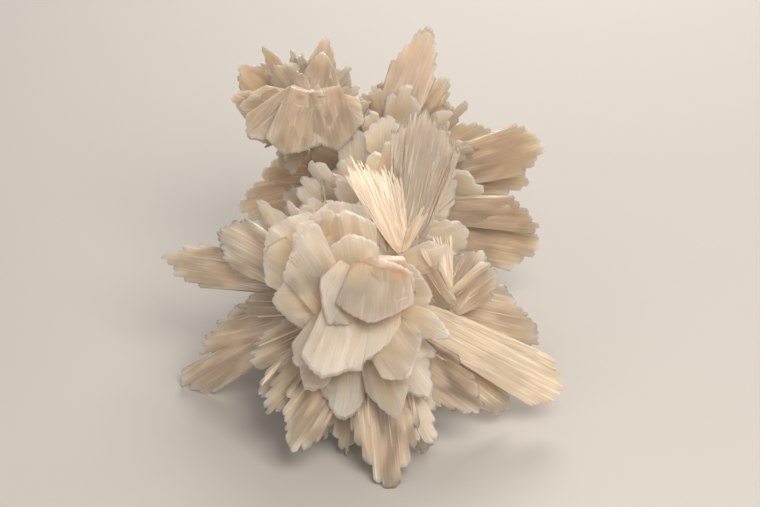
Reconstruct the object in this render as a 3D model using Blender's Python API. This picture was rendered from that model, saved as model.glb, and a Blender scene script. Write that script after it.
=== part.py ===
"""Hydroboracite specimen: one intergrown cluster of radiating, flattened crystals.

Two bursts of blades, one behind the other, share a neck, and a smaller burst grows on the upper
left of the rear one. Each blade is a fan of parallel laths, so its end is toothed. The blades
that overlap are joined in one solid, which rests on the blade ends that its own weight has blunted.

Everything below is in millimetres and degrees until it becomes a mesh.
"""

import math
import random
from collections import namedtuple

import bmesh
import bpy
from mathutils import Matrix, Vector

MM = 0.001

# The cluster is set out as it is seen from its front: across and up lie on the plane through the
# front burst's heart, and near is how far a point stands in front of that plane.
VIEW_TILT = 30.0
VIEW_DISTANCE = 320.0
HEART_HEIGHT = 21.0
# From the middle of the whole cluster's footprint to the front burst's heart.
HEART_ACROSS = -0.50
HEART_BACK = -15.93

RIGHT = Vector((1, 0, 0))
UPWARD = Vector((0, math.sin(math.radians(VIEW_TILT)), math.cos(math.radians(VIEW_TILT))))
TOWARD = Vector((0, -math.cos(math.radians(VIEW_TILT)), math.sin(math.radians(VIEW_TILT))))
HEART = Vector((HEART_ACROSS, HEART_BACK, HEART_HEIGHT))
EYE = HEART + TOWARD * VIEW_DISTANCE

# Points that blades grow from: (across, up, near).
FRONT = (0.0, 0.0, 0.0)
SIDE = (14.0, -2.6, 2.0)
REAR = (4.5, 17.0, -28.0)
UPPER = (-6.8, 24.0, -24.0)
MIDDLE = (1.5, 8.0, -12.0)

# width and thick are a blade's largest. roll turns its face from the viewer, about its own axis.
# teeth is the number of laths across its end, jag the depth of a notch between two of them, as a
# share of the length. crown is how far the outer laths stay behind the longest, as a share too, and
# skew is where the longest one lies, from -1 on the blade's left to 1 on its right, root to tip.
Blade = namedtuple("Blade", "root tip width thick roll teeth jag crown skew")

# The front burst's outer blades, round its edge from the left by way of the underside to the neck.
OUTER = [
    Blade((-5, 1.0, -3.6), (-29.4, 4.2, -15.5), 7.6, 1.8, 8, 5, 0.06, 0.26, 0.1),
    Blade((-5, 0, -2), (-20.8, 8.6, -9), 9.0, 1.5, -6, 7, 0.08, 0.24, 0.1),
    Blade((-4, 2, -3), (-15.2, 13.3, -9), 5.4, 2.2, 25, 3, 0.06, 0.50, 0.1),
    Blade((-4, 4, -4), (-10.4, 13.2, -7), 4.0, 1.4, -20, 2, 0.05, 0.66, 0.1),
    Blade((-3.2, 6, -4), (-5.0, 15.8, -4.6), 0.9, 0.6, 0, 1, 0.02, 0.80, 0.0),
    Blade((-4, -2.0, -3), (-26.0, -15.4, -15.0), 6.2, 2.0, 8, 5, 0.05, 0.14, 0.4),
    Blade((-4, -2, -2), (-24.4, -7.9, -12.5), 8.6, 1.6, -10, 7, 0.07, 0.40, -0.4),
    Blade((-4, -2, 0), (-17.6, -1.4, -5), 6.5, 1.2, 20, 5, 0.08, 0.40, -0.3),
    Blade((-3, -4, 1), (-16.2, -10.6, 1.5), 6.4, 1.3, -15, 6, 0.08, 0.26, -0.2),
    Blade((-3, -5, 2), (-14.0, -16.2, 3.0), 5.6, 1.3, 20, 4, 0.08, 0.40, 0.2),
    Blade((-2, -6, 3), (-14.2, -17.6, 5.0), 7.4, 1.4, -12, 4, 0.04, 0.50, -0.2),
    Blade((-1, -8, 4), (-11.0, -23.2, 8.0), 9.4, 1.7, 6, 4, 0.05, 0.42, -0.3),
    Blade((-1, -8, 1), (-4.4, -22.6, 0.6), 4.2, 1.2, 20, 3, 0.05, 0.50, 0.2),
    Blade((3.4, -8, 4), (5.5, -30.3, 8.0), 12.6, 2.4, 4, 5, 0.03, 0.48, 0.0),
    Blade((4, -8, 3), (13.2, -22.4, 5.0), 7.6, 1.5, -10, 3, 0.06, 0.56, 0.4),
    Blade((8, -5, 0), (23.8, -17.2, -5.0), 7.4, 1.6, -15, 5, 0.06, 0.36, 0.3),
    Blade((8, -1.4, 0), (28.0, -5.7, -6.5), 11.8, 1.7, -8, 7, 0.05, 0.34, 0.3),
    Blade(SIDE, (21.6, 2.6, 2.0), 6.6, 1.2, 16, 3, 0.08, 0.36, -0.2),
    Blade(SIDE, (18.6, 6.2, 0.0), 6.6, 1.3, -18, 4, 0.05, 0.24, 0.2),
    Blade(SIDE, (12.3, 8.2, 2.0), 5.0, 1.0, 10, 5, 0.12, 0.30, 0.3),
    Blade(SIDE, (8.2, 5.8, 3.5), 6.6, 1.4, -12, 5, 0.06, 0.35, -0.2),
]

# The outer blade on the right that shines, and those whose tips are clear.
BRIGHT = [
    Blade((9, -3.5, 2), (31.0, -15.4, -3.5), 8.8, 1.8, 6, 6, 0.05, 0.16, 0.1),
]
CLEAR_TIPPED = [
    Blade((0, -8, 1), (-1.2, -24.8, 1.6), 7.6, 1.4, -8, 4, 0.04, 0.44, 0.1),
    Blade((4, -8, 1), (9.8, -24.6, 1.2), 6.8, 1.3, 15, 3, 0.05, 0.44, -0.2),
    Blade((5, -7, 3), (19.8, -17.6, 3.5), 9.6, 1.8, 8, 4, 0.03, 0.50, 0.1),
]

# The silky fans that open from one point between the bursts: two bright ones and a broad one.
FANS = [
    Blade((7.2, 5.2, 1.0), (1.6, 21.2, 1.0), 9.8, 1.2, 8, 7, 0.08, 0.34, -0.6),
    Blade((7.0, 5.0, 1.0), (10.3, 12.8, 2.0), 2.8, 0.8, 8, 3, 0.14, 0.45, 0.3),
    Blade((6.6, 2.0, -4), (11.6, 26.8, -9), 13.0, 1.8, 6, 8, 0.04, 0.20, -0.1),
]

# The front burst's middle: broad smooth plates behind, and petals that lean over them.
CENTRE = [
    Blade((0, -1, 1), (-13.4, 8.6, 3), 14.0, 1.6, 0, 5, 0.01, 0.28, 0.1),
    Blade((0, -1, 1), (-4.2, 13.2, 3), 12.5, 1.6, 0, 6, 0.01, 0.22, 0.1),
    Blade((0, -1, 1), (0.4, 11.6, 3), 8.0, 1.6, 4, 4, 0.01, 0.32, -0.1),
    Blade((0, 0, 3), (-9.0, 9.6, 7.0), 12.0, 1.6, 6, 4, 0.01, 0.34, 0.1),
    Blade((0, 0, 3), (-2.2, 12.0, 6.6), 11.0, 1.6, -6, 4, 0.01, 0.30, 0.1),
    Blade((0, -0.5, 5), (-12.3, -1.4, 10.0), 11.6, 1.6, -8, 5, 0.01, 0.40, 0.0),
    Blade((-2, -4, 7), (-9.6, 8.0, 11.4), 9.4, 1.3, 6, 3, 0.02, 0.30, 0.7),
    Blade((0, -2, 6), (-1.6, 8.6, 10.4), 10.6, 1.3, -6, 4, 0.02, 0.36, 0.2),
    Blade((0, -2, 6), (7.4, 4.2, 10.6), 9.6, 1.4, 6, 4, 0.01, 0.36, 0.3),
    Blade((1, 0, 5), (11.8, -0.8, 10), 10.4, 1.6, -8, 4, 0.02, 0.34, 0.0),
    Blade((2, -1, 6), (14.2, -7.5, 11.5), 6.4, 1.4, 12, 3, 0.01, 0.56, -0.2),
    Blade((3.0, 3.5, 7), (-1.4, -14.0, 13.4), 15.4, 1.7, -4, 5, 0.01, 0.52, 0.45),
    Blade((1, 1, 6), (-7.6, -11.8, 12), 8.0, 1.5, 14, 3, 0.02, 0.40, 0.3),
    Blade((1, -1.5, 6), (9.4, -12.0, 13), 9.8, 1.6, -8, 4, 0.01, 0.32, 0.3),
    Blade((0, -2, 5), (-8.8, -13.8, 9.5), 8.4, 1.5, 8, 3, 0.02, 0.46, -0.4),
    Blade((2, -3, 5), (7.0, -19.0, 11), 8.8, 1.5, 10, 4, 0.01, 0.42, 0.1),
    Blade((3, -3, 5), (12.4, -15.4, 9), 8.4, 1.5, -14, 3, 0.02, 0.52, 0.3),
    Blade((-1, -3, 4), (-3.2, -19.2, 8), 9.4, 1.6, -6, 3, 0.02, 0.46, -0.3),
    Blade((4.0, 5.4, 8), (3.0, -4.8, 13.6), 13.0, 1.2, 4, 4, 0.01, 0.34, 0.1),
    Blade((2, 5, 7), (-4.6, -4.4, 12.2), 9.6, 1.3, -6, 3, 0.01, 0.40, -0.2),
]

# The rear burst, from the tall blade down the right side, and low on the left.
BEHIND = [
    Blade((1.6, 15, -28), (11.0, 39.0, -30), 8.9, 2.2, 4, 6, 0.03, 0.30, 0.0),
    Blade(REAR, (14.2, 31.2, -32), 7.4, 1.6, -12, 4, 0.05, 0.36, -0.2),
    Blade(REAR, (16.3, 28.0, -34), 4.2, 1.4, 20, 2, 0.05, 0.50, 0.2),
    Blade(REAR, (19.8, 24.0, -35), 8.0, 1.6, -10, 4, 0.05, 0.30, 0.1),
    Blade((8, 16, -29), (28.0, 21.6, -33), 9.2, 1.9, 8, 5, 0.04, 0.20, 0.0),
    Blade(REAR, (25.8, 15.4, -38), 7.6, 1.6, -8, 3, 0.05, 0.30, -0.2),
    Blade((8, 12, -24), (27.6, 10.8, -27), 6.6, 2.4, 14, 3, 0.05, 0.24, 0.6),
    Blade((6, 10, -25), (27.4, 6.0, -31), 10.4, 1.8, -6, 4, 0.06, 0.20, 0.0),
    Blade((6, 8, -22), (24.0, 0.4, -27), 11.0, 1.8, 8, 4, 0.04, 0.36, -0.2),
    Blade(REAR, (-17.8, 11.8, -34), 12.0, 1.8, 8, 4, 0.04, 0.30, 0.0),
    Blade(REAR, (-14.4, 17.2, -30), 9.0, 1.6, -14, 3, 0.06, 0.36, 0.0),
]

# The small upper burst: the blades that stand up, then the plates laid over its front.
ABOVE = [
    Blade(UPPER, (-4.6, 37.6, -27), 9.4, 2.0, 8, 4, 0.02, 0.66, 0.0),
    Blade(UPPER, (-8.2, 35.2, -29), 4.0, 1.4, -16, 2, 0.05, 0.66, 0.0),
    Blade(UPPER, (-10.3, 35.7, -27), 4.6, 1.4, 12, 2, 0.04, 0.70, 0.2),
    Blade(UPPER, (-14.1, 36.2, -26), 6.2, 1.6, -8, 3, 0.04, 0.64, 0.0),
    Blade(UPPER, (-17.5, 33.6, -26), 7.6, 1.7, 10, 3, 0.04, 0.26, -0.1),
    Blade(UPPER, (-18.8, 28.6, -23), 8.0, 1.7, -14, 3, 0.05, 0.36, 0.0),
    Blade(UPPER, (-1.2, 33.0, -26), 7.6, 1.5, 14, 3, 0.06, 0.46, 0.0),
    Blade(UPPER, (2.6, 28.0, -27), 5.6, 1.5, -10, 3, 0.06, 0.46, 0.0),
    Blade((-6.0, 25.0, -18), (-5.0, 35.4, -22.5), 8.6, 1.7, 6, 4, 0.02, 0.50, 0.0),
    Blade((-7.0, 25.0, -17.5), (-12.4, 33.4, -21.5), 8.2, 1.6, -8, 4, 0.02, 0.40, 0.0),
    Blade((-8.0, 27.0, -18), (-17.6, 27.2, -18.5), 8.4, 1.6, 8, 4, 0.03, 0.36, 0.0),
    Blade((-8.0, 29.0, -18.5), (-15.4, 21.8, -15.0), 9.0, 1.6, 10, 4, 0.03, 0.34, 0.2),
    Blade((-7.0, 30.0, -18.5), (-9.6, 19.8, -12.5), 10.6, 1.7, 4, 4, 0.02, 0.30, 0.2),
    Blade((-5.0, 30.0, -18.5), (-2.8, 20.6, -13.0), 9.8, 1.7, -6, 4, 0.02, 0.32, 0.0),
    Blade((-5.0, 28.0, -18), (1.2, 24.6, -17.0), 7.6, 1.6, -10, 3, 0.03, 0.36, 0.0),
]

# Plates of the neck between the bursts, and the stout blade that the upper burst grows on.
NECK = [
    Blade((4, 17, -27), (-8.0, 27.5, -21.5), 9.0, 4.5, 15, 3, 0.02, 0.24, 0.0),
    Blade((-2, 8, -13), (-8.2, 16.8, -11), 8.8, 1.6, 8, 3, 0.02, 0.44, 0.0),
    Blade((1, 7, -14), (-1.6, 19.6, -12), 12.0, 1.7, -6, 4, 0.02, 0.38, 0.0),
    Blade((3, 9, -18), (4.2, 26.0, -17), 11.6, 1.7, 8, 4, 0.02, 0.36, 0.1),
    Blade((5, 7, -15), (14.8, 18.0, -19), 10.4, 1.7, -8, 4, 0.04, 0.40, 0.0),
    Blade((5, 4, -10), (17.0, 8.4, -14), 9.4, 1.6, 10, 4, 0.04, 0.40, 0.0),
    Blade((-2, 4, -10), (-13.4, 9.4, -17), 8.6, 1.6, -10, 4, 0.04, 0.40, 0.0),
    Blade((-1, 3, -12), (-12.0, 0.0, -20), 8.4, 1.6, 12, 4, 0.05, 0.40, 0.0),
    Blade((3, 1, -12), (14.5, -3.0, -19), 8.4, 1.6, -12, 4, 0.05, 0.40, 0.0),
]

# Stout blades that the cluster stands on, besides the front burst's lowest ones.
FEET = [
    Blade((0, 4, -16), (-13.5, -10.4, -28), 8.5, 3.4, 30, 3, 0.02, 0.20, 0.0),
    Blade((5, 4, -18), (16.0, -10.4, -29), 8.5, 3.4, -30, 3, 0.02, 0.20, 0.0),
    Blade(REAR, (5.0, -3.4, -43), 10.0, 4.0, 10, 3, 0.02, 0.16, 0.0),
    Blade((4, -3, -4), (17.0, -19.6, -13.6), 8.5, 3.0, 20, 3, 0.02, 0.24, 0.0),
]

# Blades spread evenly round a heart. Directions run to the viewer from -1, straight away, to 1.
Spray = namedtuple("Spray", "heart count reach width teeth nearest avoid seed")
SPRAYS = [
    # The backs of the bursts.
    Spray((0.0, 1.0, -3.0), 38, (18.0, 22.0), (7.5, 10.0), 3, -0.36, REAR, 11),
    Spray((4.5, 16.0, -29.0), 46, (17.0, 21.5), (7.5, 10.0), 3, -0.40, FRONT, 23),
    # Shorter blades that fill the bursts and the neck between the long ones.
    Spray((0.0, 0.0, 0.0), 24, (14.0, 17.0), (6.5, 9.0), 2, 0.50, REAR, 31),
    Spray((4.5, 17.0, -28.0), 30, (12.0, 15.0), (6.5, 8.5), 2, 0.60, FRONT, 47),
    Spray((1.5, 7.0, -13.0), 32, (14.0, 17.5), (7.0, 9.5), 2, 0.40, (1.5, 7.0, -60.0), 53),
]
# The largest share of a blade's direction that may point at what it avoids.
AVOID = 0.6
GOLDEN_TURN = math.pi * (3 - math.sqrt(5))

# The solid middle of each burst and of the neck: centre (across, up, near) and half-sizes.
LUMPS = [
    (FRONT, (10.5, 10.5, 10.0)),
    (MIDDLE, (7.5, 8.0, 14.0)),
    (REAR, (9.5, 10.0, 10.0)),
    ((-7.0, 26.0, -21.5), (6.0, 6.5, 6.5)),
]

# A blade is this share of its full width at its root, a fan this share of its own.
ROOT_SHARE = 0.50
ROOT_OF_FAN = 0.08
# How fast a blade widens from its root, and how round its crown is: powers of the distance.
FLARE = 0.70
CROWN_POWER = 1.4
# Where a blade's straight side ends and its toothed end begins, as a share of the side's length.
SIDE_STEP = 0.55
# Shares of the length at which the ridge starts and ends, and where the rim turns to its far end.
RIDGE = (0.10, 0.62)
RIDGE_TURN = 0.29


def seen(across, up, near):
    """The point that looks to be at (across, up) from the front and stands near in front."""
    grow = (VIEW_DISTANCE - near) / VIEW_DISTANCE
    return HEART + RIGHT * across * grow + UPWARD * up * grow + TOWARD * near


def reach_of(blade, side):
    """How far the lath at side, from -1 to 1, reaches, as a share of the blade's length."""
    away = abs(side - blade.skew) / (1 + abs(blade.skew))
    return 1 - blade.crown * away**CROWN_POWER


def outline(blade, rng):
    """Points (side, share of the length) round the blade's end, from its left side to its right."""
    points = [(-1.0, SIDE_STEP * reach_of(blade, -1))]
    for lath in range(blade.teeth):
        left = -1 + 2 * lath / blade.teeth
        middle = left + (1 + rng.uniform(-0.4, 0.4)) / blade.teeth
        points.append((left, reach_of(blade, left) - blade.jag * rng.uniform(0.7, 1.3)))
        points.append((middle, reach_of(blade, middle) - blade.jag * rng.uniform(0.0, 0.2)))
    points.append((1.0, reach_of(blade, 1) - blade.jag))
    points.append((1.0, SIDE_STEP * reach_of(blade, 1)))
    return points


def blade_frame(blade):
    """The blade's root, its length and its own axes: across it, along it and out of its face."""
    root, tip = seen(*blade.root), seen(*blade.tip)
    along = (tip - root).normalized()
    facing = EYE - (root + tip) / 2
    out = (facing - along * facing.dot(along)).normalized()
    out = Matrix.Rotation(math.radians(blade.roll), 3, along) @ out
    return root, (tip - root).length, along.cross(out), along, out


def half_width(blade, root_share, share):
    """Half the blade's width at a share of its length."""
    return blade.width / 2 * (root_share + (1 - root_share) * max(share, 0.0) ** FLARE)


def blade_mesh(blade, rng, root_share):
    """A closed blade: a toothed outline with a low ridge down each face."""
    root, length, across, along, out = blade_frame(blade)

    def point(side, share, rise):
        flat = root + along * share * length
        return flat + across * side * half_width(blade, root_share, share) + out * rise

    rim = [(-1.0, 0.0), *outline(blade, rng), (1.0, 0.0)]
    mesh = bmesh.new()
    edge = [mesh.verts.new(point(side, share, 0)) for side, share in rim]
    for sign in (1, -1):
        spine = [
            mesh.verts.new(point(0, RIDGE[0], sign * blade.thick / 2)),
            mesh.verts.new(point(blade.skew * 0.5, RIDGE[1], sign * blade.thick / 2)),
        ]
        nearest = [int(share > RIDGE_TURN) for _, share in rim]
        for i in range(len(rim)):
            j = (i + 1) % len(rim)
            faces = [(edge[j], edge[i], spine[nearest[i]])]
            if nearest[i] != nearest[j]:
                faces.append((edge[j], spine[nearest[i]], spine[nearest[j]]))
            for face in faces:
                mesh.faces.new(face if sign == 1 else face[::-1])
    return mesh


def spray_blades(spray):
    """Blades spread evenly round spray.heart, but for those that point at the viewer or at avoid."""
    rng = random.Random(spray.seed)
    heart = Vector(spray.heart)
    avoid = (Vector(spray.avoid) - heart).normalized()
    blades = []
    for i in range(spray.count):
        near = 1 - 2 * (i + 0.5) / spray.count
        ring = math.sqrt(1 - near * near)
        way = Vector((ring * math.cos(i * GOLDEN_TURN), ring * math.sin(i * GOLDEN_TURN), near))
        tip = heart + way * rng.uniform(*spray.reach)
        width = rng.uniform(*spray.width)
        roll = rng.uniform(-80, 80) if near < 0 else rng.uniform(-30, 30)
        crown = rng.uniform(0.30, 0.55)
        skew = rng.uniform(-0.4, 0.4)
        if near > spray.nearest or way.dot(avoid) > AVOID:
            continue
        blades.append(
            Blade(spray.heart, tuple(tip), width, width * 0.22, roll, spray.teeth, 0.06, crown, skew)
        )
    return blades


def mesh_object(name, mesh):
    """An object of the millimetre mesh, whose faces are turned outwards."""
    bmesh.ops.recalc_face_normals(mesh, faces=mesh.faces)
    data = bpy.data.meshes.new(name)
    mesh.to_mesh(data)
    mesh.free()
    data.transform(Matrix.Scale(MM, 4))
    return bpy.data.objects.new(name, data)


def lump_object(name, centre, half_sizes):
    """A faceted egg, set in the viewer's directions."""
    mesh = bmesh.new()
    bmesh.ops.create_icosphere(mesh, subdivisions=1, radius=1)
    turn = Matrix((RIGHT, UPWARD, TOWARD)).transposed()
    for vert in mesh.verts:
        vert.co = seen(*centre) + turn @ Vector(c * h for c, h in zip(vert.co, half_sizes))
    return mesh_object(name, mesh)


def floor_cutter():
    """A block under the plane that the cluster stands on."""
    mesh = bmesh.new()
    bmesh.ops.create_cube(mesh, size=1)
    for vert in mesh.verts:
        vert.co = Vector((vert.co.x * 200, vert.co.y * 200, (vert.co.z - 0.5) * 40))
    return mesh_object("floor_cutter", mesh)


def helper(obj):
    """Marks an object that only shapes another."""
    obj.hide_render = True
    obj.display_type = "WIRE"
    return obj


def boolean(obj, operation, other):
    """Joins or cuts obj with another object, or with every object of a collection.

    With this many blades crossing, the EXACT solver leaves open edges.
    """
    modifier = obj.modifiers.new(operation.lower(), "BOOLEAN")
    modifier.operation = operation
    modifier.solver = "MANIFOLD"
    if isinstance(other, bpy.types.Collection):
        modifier.operand_type = "COLLECTION"
        modifier.collection = other
    else:
        modifier.object = other


def islands(mesh):
    """The separate shells of a bmesh, each as a list of vertices, largest first."""
    left, found = set(mesh.verts), []
    while left:
        shell, edge = [], [left.pop()]
        while edge:
            vert = edge.pop()
            shell.append(vert)
            for link in vert.link_edges:
                other = link.other_vert(vert)
                if other in left:
                    left.remove(other)
                    edge.append(other)
        found.append(shell)
    return sorted(found, key=len, reverse=True)


def one_skin(obj):
    """The mesh that obj's modifiers give, without sealed pockets between blades or loose chips."""
    evaluated = obj.evaluated_get(bpy.context.evaluated_depsgraph_get())
    mesh = bmesh.new()
    mesh.from_mesh(evaluated.to_mesh())
    for pocket in islands(mesh)[1:]:
        bmesh.ops.delete(mesh, geom=pocket, context="VERTS")
    bmesh.ops.triangulate(mesh, faces=mesh.faces)
    data = bpy.data.meshes.new(obj.name)
    mesh.to_mesh(data)
    mesh.free()
    return data


def crystal_material():
    """Milky, faintly warm crystal with a silky gloss."""
    material = bpy.data.materials.new("milky_crystal")
    material.use_nodes = True
    shader = material.node_tree.nodes["Principled BSDF"]
    shader.inputs["Base Color"].default_value = (0.66, 0.50, 0.36, 1)
    shader.inputs["Metallic"].default_value = 0.0
    shader.inputs["Roughness"].default_value = 0.38
    return material


def main():
    for obj in list(bpy.data.objects):
        bpy.data.objects.remove(obj)
    rng = random.Random(5)
    pieces = bpy.data.collections.new("blades")
    blades = OUTER + BRIGHT + CLEAR_TIPPED + CENTRE + BEHIND + ABOVE + NECK + FEET
    blades += [blade for spray in SPRAYS for blade in spray_blades(spray)]
    for i, blade in enumerate(blades):
        pieces.objects.link(helper(mesh_object(f"blade_{i}", blade_mesh(blade, rng, ROOT_SHARE))))
    for i, fan in enumerate(FANS):
        pieces.objects.link(helper(mesh_object(f"fan_{i}", blade_mesh(fan, rng, ROOT_OF_FAN))))
    for i, lump in enumerate(LUMPS[1:]):
        pieces.objects.link(helper(lump_object(f"lump_{i}", *lump)))
    rough = lump_object("rough_cluster", *LUMPS[0])
    floor = floor_cutter()
    for obj in (rough, floor):
        bpy.context.scene.collection.objects.link(helper(obj))
    boolean(rough, "UNION", pieces)
    boolean(rough, "DIFFERENCE", floor)
    cluster = bpy.data.objects.new("crystal_cluster", one_skin(rough))
    cluster.data.materials.append(crystal_material())
    bpy.context.scene.collection.objects.link(cluster)


main()
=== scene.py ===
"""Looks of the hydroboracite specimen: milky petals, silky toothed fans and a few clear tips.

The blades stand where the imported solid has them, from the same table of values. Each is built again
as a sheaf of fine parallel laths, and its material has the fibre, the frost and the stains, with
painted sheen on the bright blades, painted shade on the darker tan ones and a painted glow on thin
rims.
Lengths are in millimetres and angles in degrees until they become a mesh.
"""

import math
import random
from collections import namedtuple

import bmesh
import bpy
from mathutils import Matrix, Vector


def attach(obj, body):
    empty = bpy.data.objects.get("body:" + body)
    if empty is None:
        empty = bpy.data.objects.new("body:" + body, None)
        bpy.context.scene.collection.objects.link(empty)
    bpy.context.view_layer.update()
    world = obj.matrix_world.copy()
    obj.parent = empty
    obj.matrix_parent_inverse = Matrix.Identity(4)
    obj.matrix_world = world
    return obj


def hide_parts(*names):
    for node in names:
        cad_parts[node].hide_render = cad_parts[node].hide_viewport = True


MM = 0.001

# The cluster is set out as it is seen from its front: across and up lie on the plane through the
# front burst's heart, and near is how far a point stands in front of that plane.
VIEW_TILT = 30.0
VIEW_DISTANCE = 320.0
HEART_HEIGHT = 21.0
# From the middle of the whole cluster's footprint to the front burst's heart.
HEART_ACROSS = -0.50
HEART_BACK = -15.93

RIGHT = Vector((1, 0, 0))
UPWARD = Vector((0, math.sin(math.radians(VIEW_TILT)), math.cos(math.radians(VIEW_TILT))))
TOWARD = Vector((0, -math.cos(math.radians(VIEW_TILT)), math.sin(math.radians(VIEW_TILT))))
HEART = Vector((HEART_ACROSS, HEART_BACK, HEART_HEIGHT))
EYE = HEART + TOWARD * VIEW_DISTANCE

# Points that blades grow from: (across, up, near).
FRONT = (0.0, 0.0, 0.0)
SIDE = (14.0, -2.6, 2.0)
REAR = (4.5, 17.0, -28.0)
UPPER = (-6.8, 24.0, -24.0)
MIDDLE = (1.5, 8.0, -12.0)

# width and thick are a blade's largest. roll turns its face from the viewer, about its own axis.
# teeth is the number of teeth across its end, jag how far their laths may stay behind the crown's
# curve, as a share of the length. crown is how far that curve falls from its top to the side, as a
# share too, and skew is where its top lies, from -1 on the blade's left to 1 on its right.
Blade = namedtuple("Blade", "root tip width thick roll teeth jag crown skew")

# The front burst's outer blades, round its edge from the left by way of the underside to the neck.
OUTER = [
    Blade((-5, 1.0, -3.6), (-29.4, 4.2, -15.5), 7.6, 1.8, 8, 5, 0.06, 0.26, 0.1),
    Blade((-5, 0, -2), (-20.8, 8.6, -9), 9.0, 1.5, -6, 7, 0.08, 0.24, 0.1),
    Blade((-4, 2, -3), (-15.2, 13.3, -9), 5.4, 2.2, 25, 3, 0.06, 0.50, 0.1),
    Blade((-4, 4, -4), (-10.4, 13.2, -7), 4.0, 1.4, -20, 2, 0.05, 0.66, 0.1),
    Blade((-3.2, 6, -4), (-5.0, 15.8, -4.6), 0.9, 0.6, 0, 1, 0.02, 0.80, 0.0),
    Blade((-4, -2.0, -3), (-26.0, -15.4, -15.0), 6.2, 2.0, 8, 5, 0.05, 0.14, 0.4),
    Blade((-4, -2, -2), (-24.4, -7.9, -12.5), 8.6, 1.6, -10, 7, 0.07, 0.40, -0.4),
    Blade((-4, -2, 0), (-17.6, -1.4, -5), 6.5, 1.2, 20, 5, 0.08, 0.40, -0.3),
    Blade((-3, -4, 1), (-16.2, -10.6, 1.5), 6.4, 1.3, -15, 6, 0.08, 0.26, -0.2),
    Blade((-3, -5, 2), (-14.0, -16.2, 3.0), 5.6, 1.3, 20, 4, 0.08, 0.40, 0.2),
    Blade((-2, -6, 3), (-14.2, -17.6, 5.0), 7.4, 1.4, -12, 4, 0.04, 0.50, -0.2),
    Blade((-1, -8, 4), (-11.0, -23.2, 8.0), 9.4, 1.7, 6, 4, 0.05, 0.42, -0.3),
    Blade((-1, -8, 1), (-4.4, -22.6, 0.6), 4.2, 1.2, 20, 3, 0.05, 0.50, 0.2),
    Blade((3.4, -8, 4), (5.5, -30.3, 8.0), 12.6, 2.4, 4, 5, 0.03, 0.48, 0.0),
    Blade((4, -8, 3), (13.2, -22.4, 5.0), 7.6, 1.5, -10, 3, 0.06, 0.56, 0.4),
    Blade((8, -5, 0), (23.8, -17.2, -5.0), 7.4, 1.6, -15, 5, 0.06, 0.36, 0.3),
    Blade((8, -1.4, 0), (28.0, -5.7, -6.5), 11.8, 1.7, -8, 7, 0.05, 0.34, 0.3),
    Blade(SIDE, (21.6, 2.6, 2.0), 6.6, 1.2, 16, 3, 0.08, 0.36, -0.2),
    Blade(SIDE, (18.6, 6.2, 0.0), 6.6, 1.3, -18, 4, 0.05, 0.24, 0.2),
    Blade(SIDE, (12.3, 8.2, 2.0), 5.0, 1.0, 10, 5, 0.12, 0.30, 0.3),
    Blade(SIDE, (8.2, 5.8, 3.5), 6.6, 1.4, -12, 5, 0.06, 0.35, -0.2),
]

# The outer blade on the right that shines, its shine painted into a bright material, and those whose
# tips are clear.
BRIGHT = [
    Blade((9, -3.5, 2), (31.0, -15.4, -3.5), 8.8, 1.8, 6, 6, 0.05, 0.16, 0.1),
]
CLEAR_TIPPED = [
    Blade((0, -8, 1), (-1.2, -24.8, 1.6), 7.6, 1.4, -8, 4, 0.04, 0.44, 0.1),
    Blade((4, -8, 1), (9.8, -24.6, 1.2), 6.8, 1.3, 15, 3, 0.05, 0.44, -0.2),
    Blade((5, -7, 3), (19.8, -17.6, 3.5), 9.6, 1.8, 8, 4, 0.03, 0.50, 0.1),
]

# The silky fans that open from one point between the bursts: two bright ones, whose white is partly
# painted sheen, and a broad one.
FANS = [
    Blade((7.2, 5.2, 1.0), (1.6, 21.2, 1.0), 9.8, 1.2, 8, 7, 0.08, 0.34, -0.6),
    Blade((7.0, 5.0, 1.0), (10.3, 12.8, 2.0), 2.8, 0.8, 8, 3, 0.14, 0.45, 0.3),
    Blade((6.6, 2.0, -4), (11.6, 26.8, -9), 13.0, 1.8, 6, 8, 0.04, 0.20, -0.1),
]

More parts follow.
